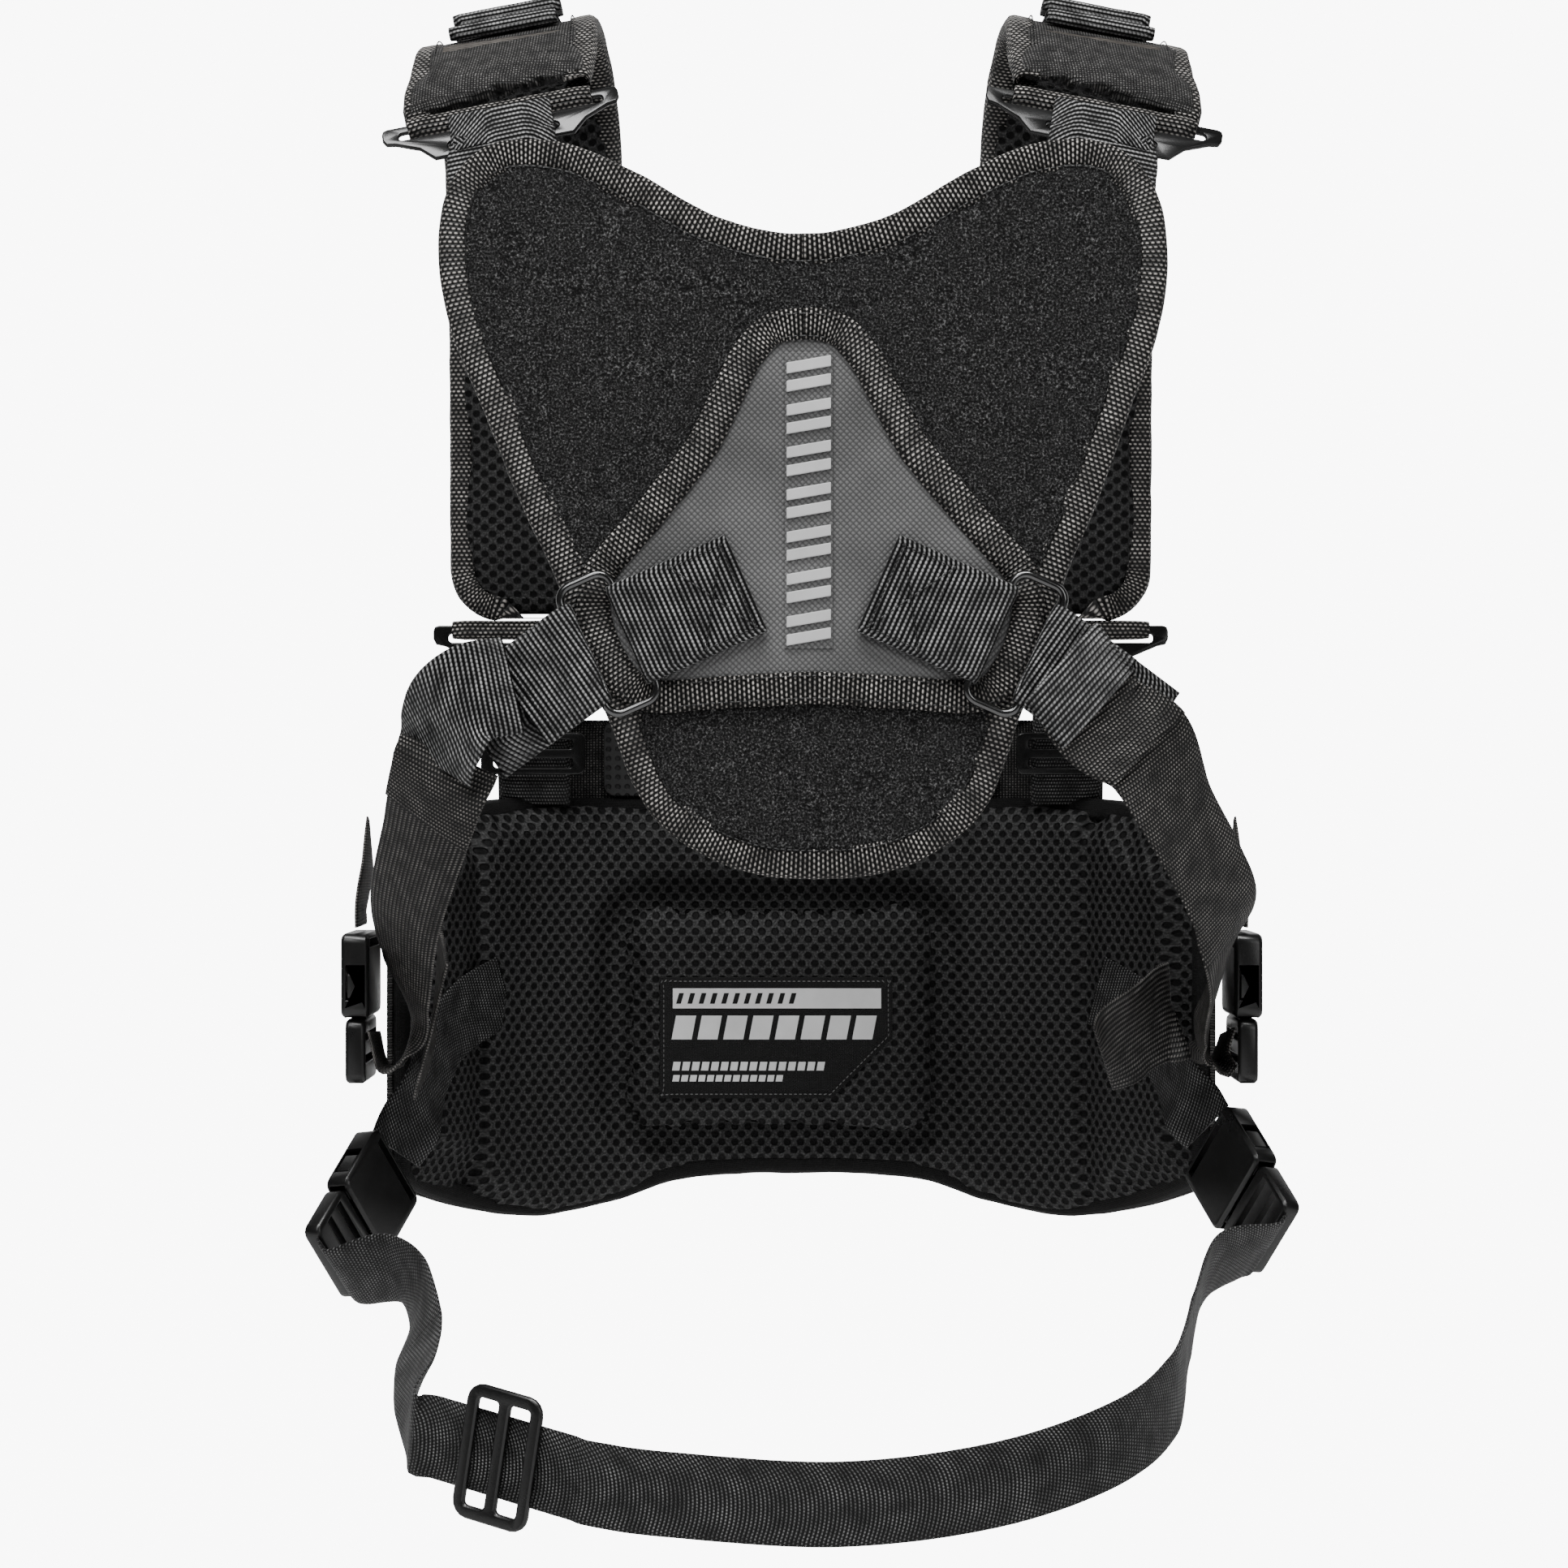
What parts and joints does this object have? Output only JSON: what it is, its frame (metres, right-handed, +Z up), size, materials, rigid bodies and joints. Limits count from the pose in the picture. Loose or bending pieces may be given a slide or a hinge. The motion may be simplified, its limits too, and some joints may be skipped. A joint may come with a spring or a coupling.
{
  "type": "safety harness vest",
  "caption": "Load-bearing harness vest: shield-shaped rear yoke, padded shoulders with hook plates, side straps, waist belt with side-release buckles, curved padded chest panel",
  "frame": {"origin": "midway between the places where the two shoulder pads rest on the shoulders", "axes": "+X to the right as the rear yoke is looked at, +Y the wearer's front, +Z up"},
  "size_m": [0.4884, 0.3865, 0.7292],
  "materials": {
    "pile": "short loop pile, black",
    "nylon": "woven nylon, black",
    "webbing": "ribbed nylon webbing, black",
    "tape": "coarse woven edge tape, black",
    "coated": "coated woven cloth, dark grey",
    "emblem": "moulded soft rubber, grey",
    "mesh": "spacer mesh, black",
    "label": "woven label, dark grey",
    "laminate": "perforated rubbery laminate, black",
    "plastic": "moulded acetal, satin black",
    "plate": "stamped steel, satin black coating",
    "wire": "black nickel wire, polished"
  },
  "bodies": {
    "chest": {"front_pad": "mesh", "front_shell": "nylon", "placard": "laminate", "centre_pad": "mesh", "label": "label", "belt_webbing": "webbing", "shoulder_pad_L": "nylon", "shoulder_pad_R": "nylon", "pad_keeper_L": "webbing", "pad_keeper_R": "webbing", "front_hook_L": "plate", "front_hook_R": "plate", "front_strap_L": "webbing", "front_strap_R": "webbing", "front_adjuster_L": "plastic", "front_adjuster_R": "plastic", "side_socket_L": "plastic", "side_socket_R": "plastic", "belt_socket_L": "plastic", "belt_socket_R": "plastic", "side_anchor_L": "webbing", "side_anchor_R": "webbing", "belt_anchor_L": "webbing", "belt_anchor_R": "webbing", "side_strap_L": "webbing", "side_strap_R": "webbing", "belt_end_L": "webbing", "belt_end_R": "webbing"},
    "yoke": {"yoke_pad": "nylon", "yoke_binding": "tape", "yoke_loop_field": "pile", "patch_panel": "coated", "patch_binding": "tape", "emblem_strip": "emblem", "ring_tab_L": "webbing", "ring_tab_R": "webbing", "yoke_riser_L": "webbing", "yoke_riser_R": "webbing"},
    "belt_slider": {"belt_slider": "plastic"},
    "ring_L": {"ring_L": "wire", "ring_strap_L": "webbing"},
    "rear_hook_L": {"rear_hook_L": "plate"},
    "side_plug_L": {"side_plug_L": "plastic", "side_tail_L": "webbing"},
    "belt_plug_L": {"belt_plug_L": "plastic"},
    "side_latch_a_L": {"side_latch_a_L": "plastic"},
    "side_latch_b_L": {"side_latch_b_L": "plastic"},
    "belt_latch_a_L": {"belt_latch_a_L": "plastic"},
    "belt_latch_b_L": {"belt_latch_b_L": "plastic"},
    "ring_R": {"ring_R": "wire", "ring_strap_R": "webbing"},
    "rear_hook_R": {"rear_hook_R": "plate"},
    "side_plug_R": {"side_plug_R": "plastic", "side_tail_R": "webbing"},
    "belt_plug_R": {"belt_plug_R": "plastic"},
    "side_latch_a_R": {"side_latch_a_R": "plastic"},
    "side_latch_b_R": {"side_latch_b_R": "plastic"},
    "belt_latch_a_R": {"belt_latch_a_R": "plastic"},
    "belt_latch_b_R": {"belt_latch_b_R": "plastic"}
  },
  "joints": [
    {"name": "yoke_swing", "type": "hinge", "parent": "chest", "child": "yoke", "pos_m": [0, -0.074, -0.042], "axis": [-1, 0, 0], "range_deg": [0, 30], "deforming": ["side_strap_L", "side_strap_R", "ring_strap_L", "ring_strap_R", "yoke_riser_L", "yoke_riser_R"]},
    {"name": "rear_hook_swivel_L", "type": "hinge", "parent": "chest", "child": "rear_hook_L", "pos_m": [-0.146, -0.074, -0.042], "axis": [-0.9816, 0, -0.1908], "range_deg": [0, 30], "deforming": ["yoke_riser_L"]},
    {"name": "rear_hook_swivel_R", "type": "hinge", "parent": "chest", "child": "rear_hook_R", "pos_m": [0.146, -0.074, -0.042], "axis": [-0.9816, 0, 0.1908], "range_deg": [0, 30], "deforming": ["yoke_riser_R"]},
    {"name": "ring_swivel_L", "type": "hinge", "parent": "yoke", "child": "ring_L", "pos_m": [-0.0796, -0.12, -0.2947], "axis": [-0.4067, 0, 0.9136], "range_deg": [0, 35], "deforming": ["ring_strap_L", "side_strap_L"]},
    {"name": "ring_swivel_R", "type": "hinge", "parent": "yoke", "child": "ring_R", "pos_m": [0.0886, -0.12, -0.2947], "axis": [-0.4067, 0, -0.9136], "range_deg": [0, 35], "deforming": ["ring_strap_R", "side_strap_R"]},
    {"name": "side_plug_release_L", "type": "slide", "parent": "chest", "child": "side_plug_L", "axis": [0, 0, -1], "range_m": [0, 0.022], "deforming": ["side_strap_L", "side_tail_L", "side_latch_a_L", "side_latch_b_L"]},
    {"name": "side_latch_a_press_L", "type": "hinge", "parent": "side_plug_L", "child": "side_latch_a_L", "pos_m": [-0.221, 0.027, -0.4815], "axis": [1, 0, 0], "range_deg": [0, 8], "stiffness_Nm_per_rad": 0.8},
    {"name": "side_latch_b_press_L", "type": "hinge", "parent": "side_plug_L", "child": "side_latch_b_L", "pos_m": [-0.221, -0.017, -0.4815], "axis": [-1, 0, 0], "range_deg": [0, 8], "stiffness_Nm_per_rad": 0.8},
    {"name": "side_plug_release_R", "type": "slide", "parent": "chest", "child": "side_plug_R", "axis": [0, 0, -1], "range_m": [0, 0.011], "deforming": ["side_strap_R", "side_tail_R", "side_latch_a_R", "side_latch_b_R"]},
    {"name": "side_latch_a_press_R", "type": "hinge", "parent": "side_plug_R", "child": "side_latch_a_R", "pos_m": [0.221, 0.027, -0.4815], "axis": [1, 0, 0], "range_deg": [0, 8], "stiffness_Nm_per_rad": 0.8},
    {"name": "side_latch_b_press_R", "type": "hinge", "parent": "side_plug_R", "child": "side_latch_b_R", "pos_m": [0.221, -0.017, -0.4815], "axis": [-1, 0, 0], "range_deg": [0, 8], "stiffness_Nm_per_rad": 0.8},
    {"name": "belt_plug_release_L", "type": "slide", "parent": "chest", "child": "belt_plug_L", "axis": [-0.324, -0.7227, -0.6105], "range_m": [0, 0.034], "deforming": ["belt_end_L", "belt_latch_a_L", "belt_latch_b_L"]},
    {"name": "belt_latch_a_press_L", "type": "hinge", "parent": "belt_plug_L", "child": "belt_latch_a_L", "pos_m": [-0.2158, -0.0021, -0.5959], "axis": [0.8659, -0.4865, 0.1164], "range_deg": [0, 8], "stiffness_Nm_per_rad": 0.8},
    {"name": "belt_latch_b_press_L", "type": "hinge", "parent": "belt_plug_L", "child": "belt_latch_b_L", "pos_m": [-0.228, -0.0178, -0.5708], "axis": [-0.8659, 0.4865, -0.1164], "range_deg": [0, 8], "stiffness_Nm_per_rad": 0.8},
    {"name": "belt_plug_release_R", "type": "slide", "parent": "chest", "child": "belt_plug_R", "axis": [0.324, -0.7227, -0.6105], "range_m": [0, 0.034], "deforming": ["belt_end_R", "belt_latch_a_R", "belt_latch_b_R"]},
    {"name": "belt_latch_a_press_R", "type": "hinge", "parent": "belt_plug_R", "child": "belt_latch_a_R", "pos_m": [0.2158, -0.0021, -0.5839], "axis": [0.8659, 0.4865, -0.1164], "range_deg": [0, 8], "stiffness_Nm_per_rad": 0.8},
    {"name": "belt_latch_b_press_R", "type": "hinge", "parent": "belt_plug_R", "child": "belt_latch_b_R", "pos_m": [0.228, -0.0178, -0.5588], "axis": [-0.8659, -0.4865, 0.1164], "range_deg": [0, 8], "stiffness_Nm_per_rad": 0.8},
    {"name": "slider_slide", "type": "slide", "parent": "chest", "child": "belt_slider", "axis": [0.8647, -0.4723, -0.1709], "range_m": [-0.012, 0.012]}
  ],
  "couplings": [
    {"joint": "rear_hook_swivel_L", "follows": "yoke_swing", "ratio": 1},
    {"joint": "rear_hook_swivel_R", "follows": "yoke_swing", "ratio": 1}
  ]
}
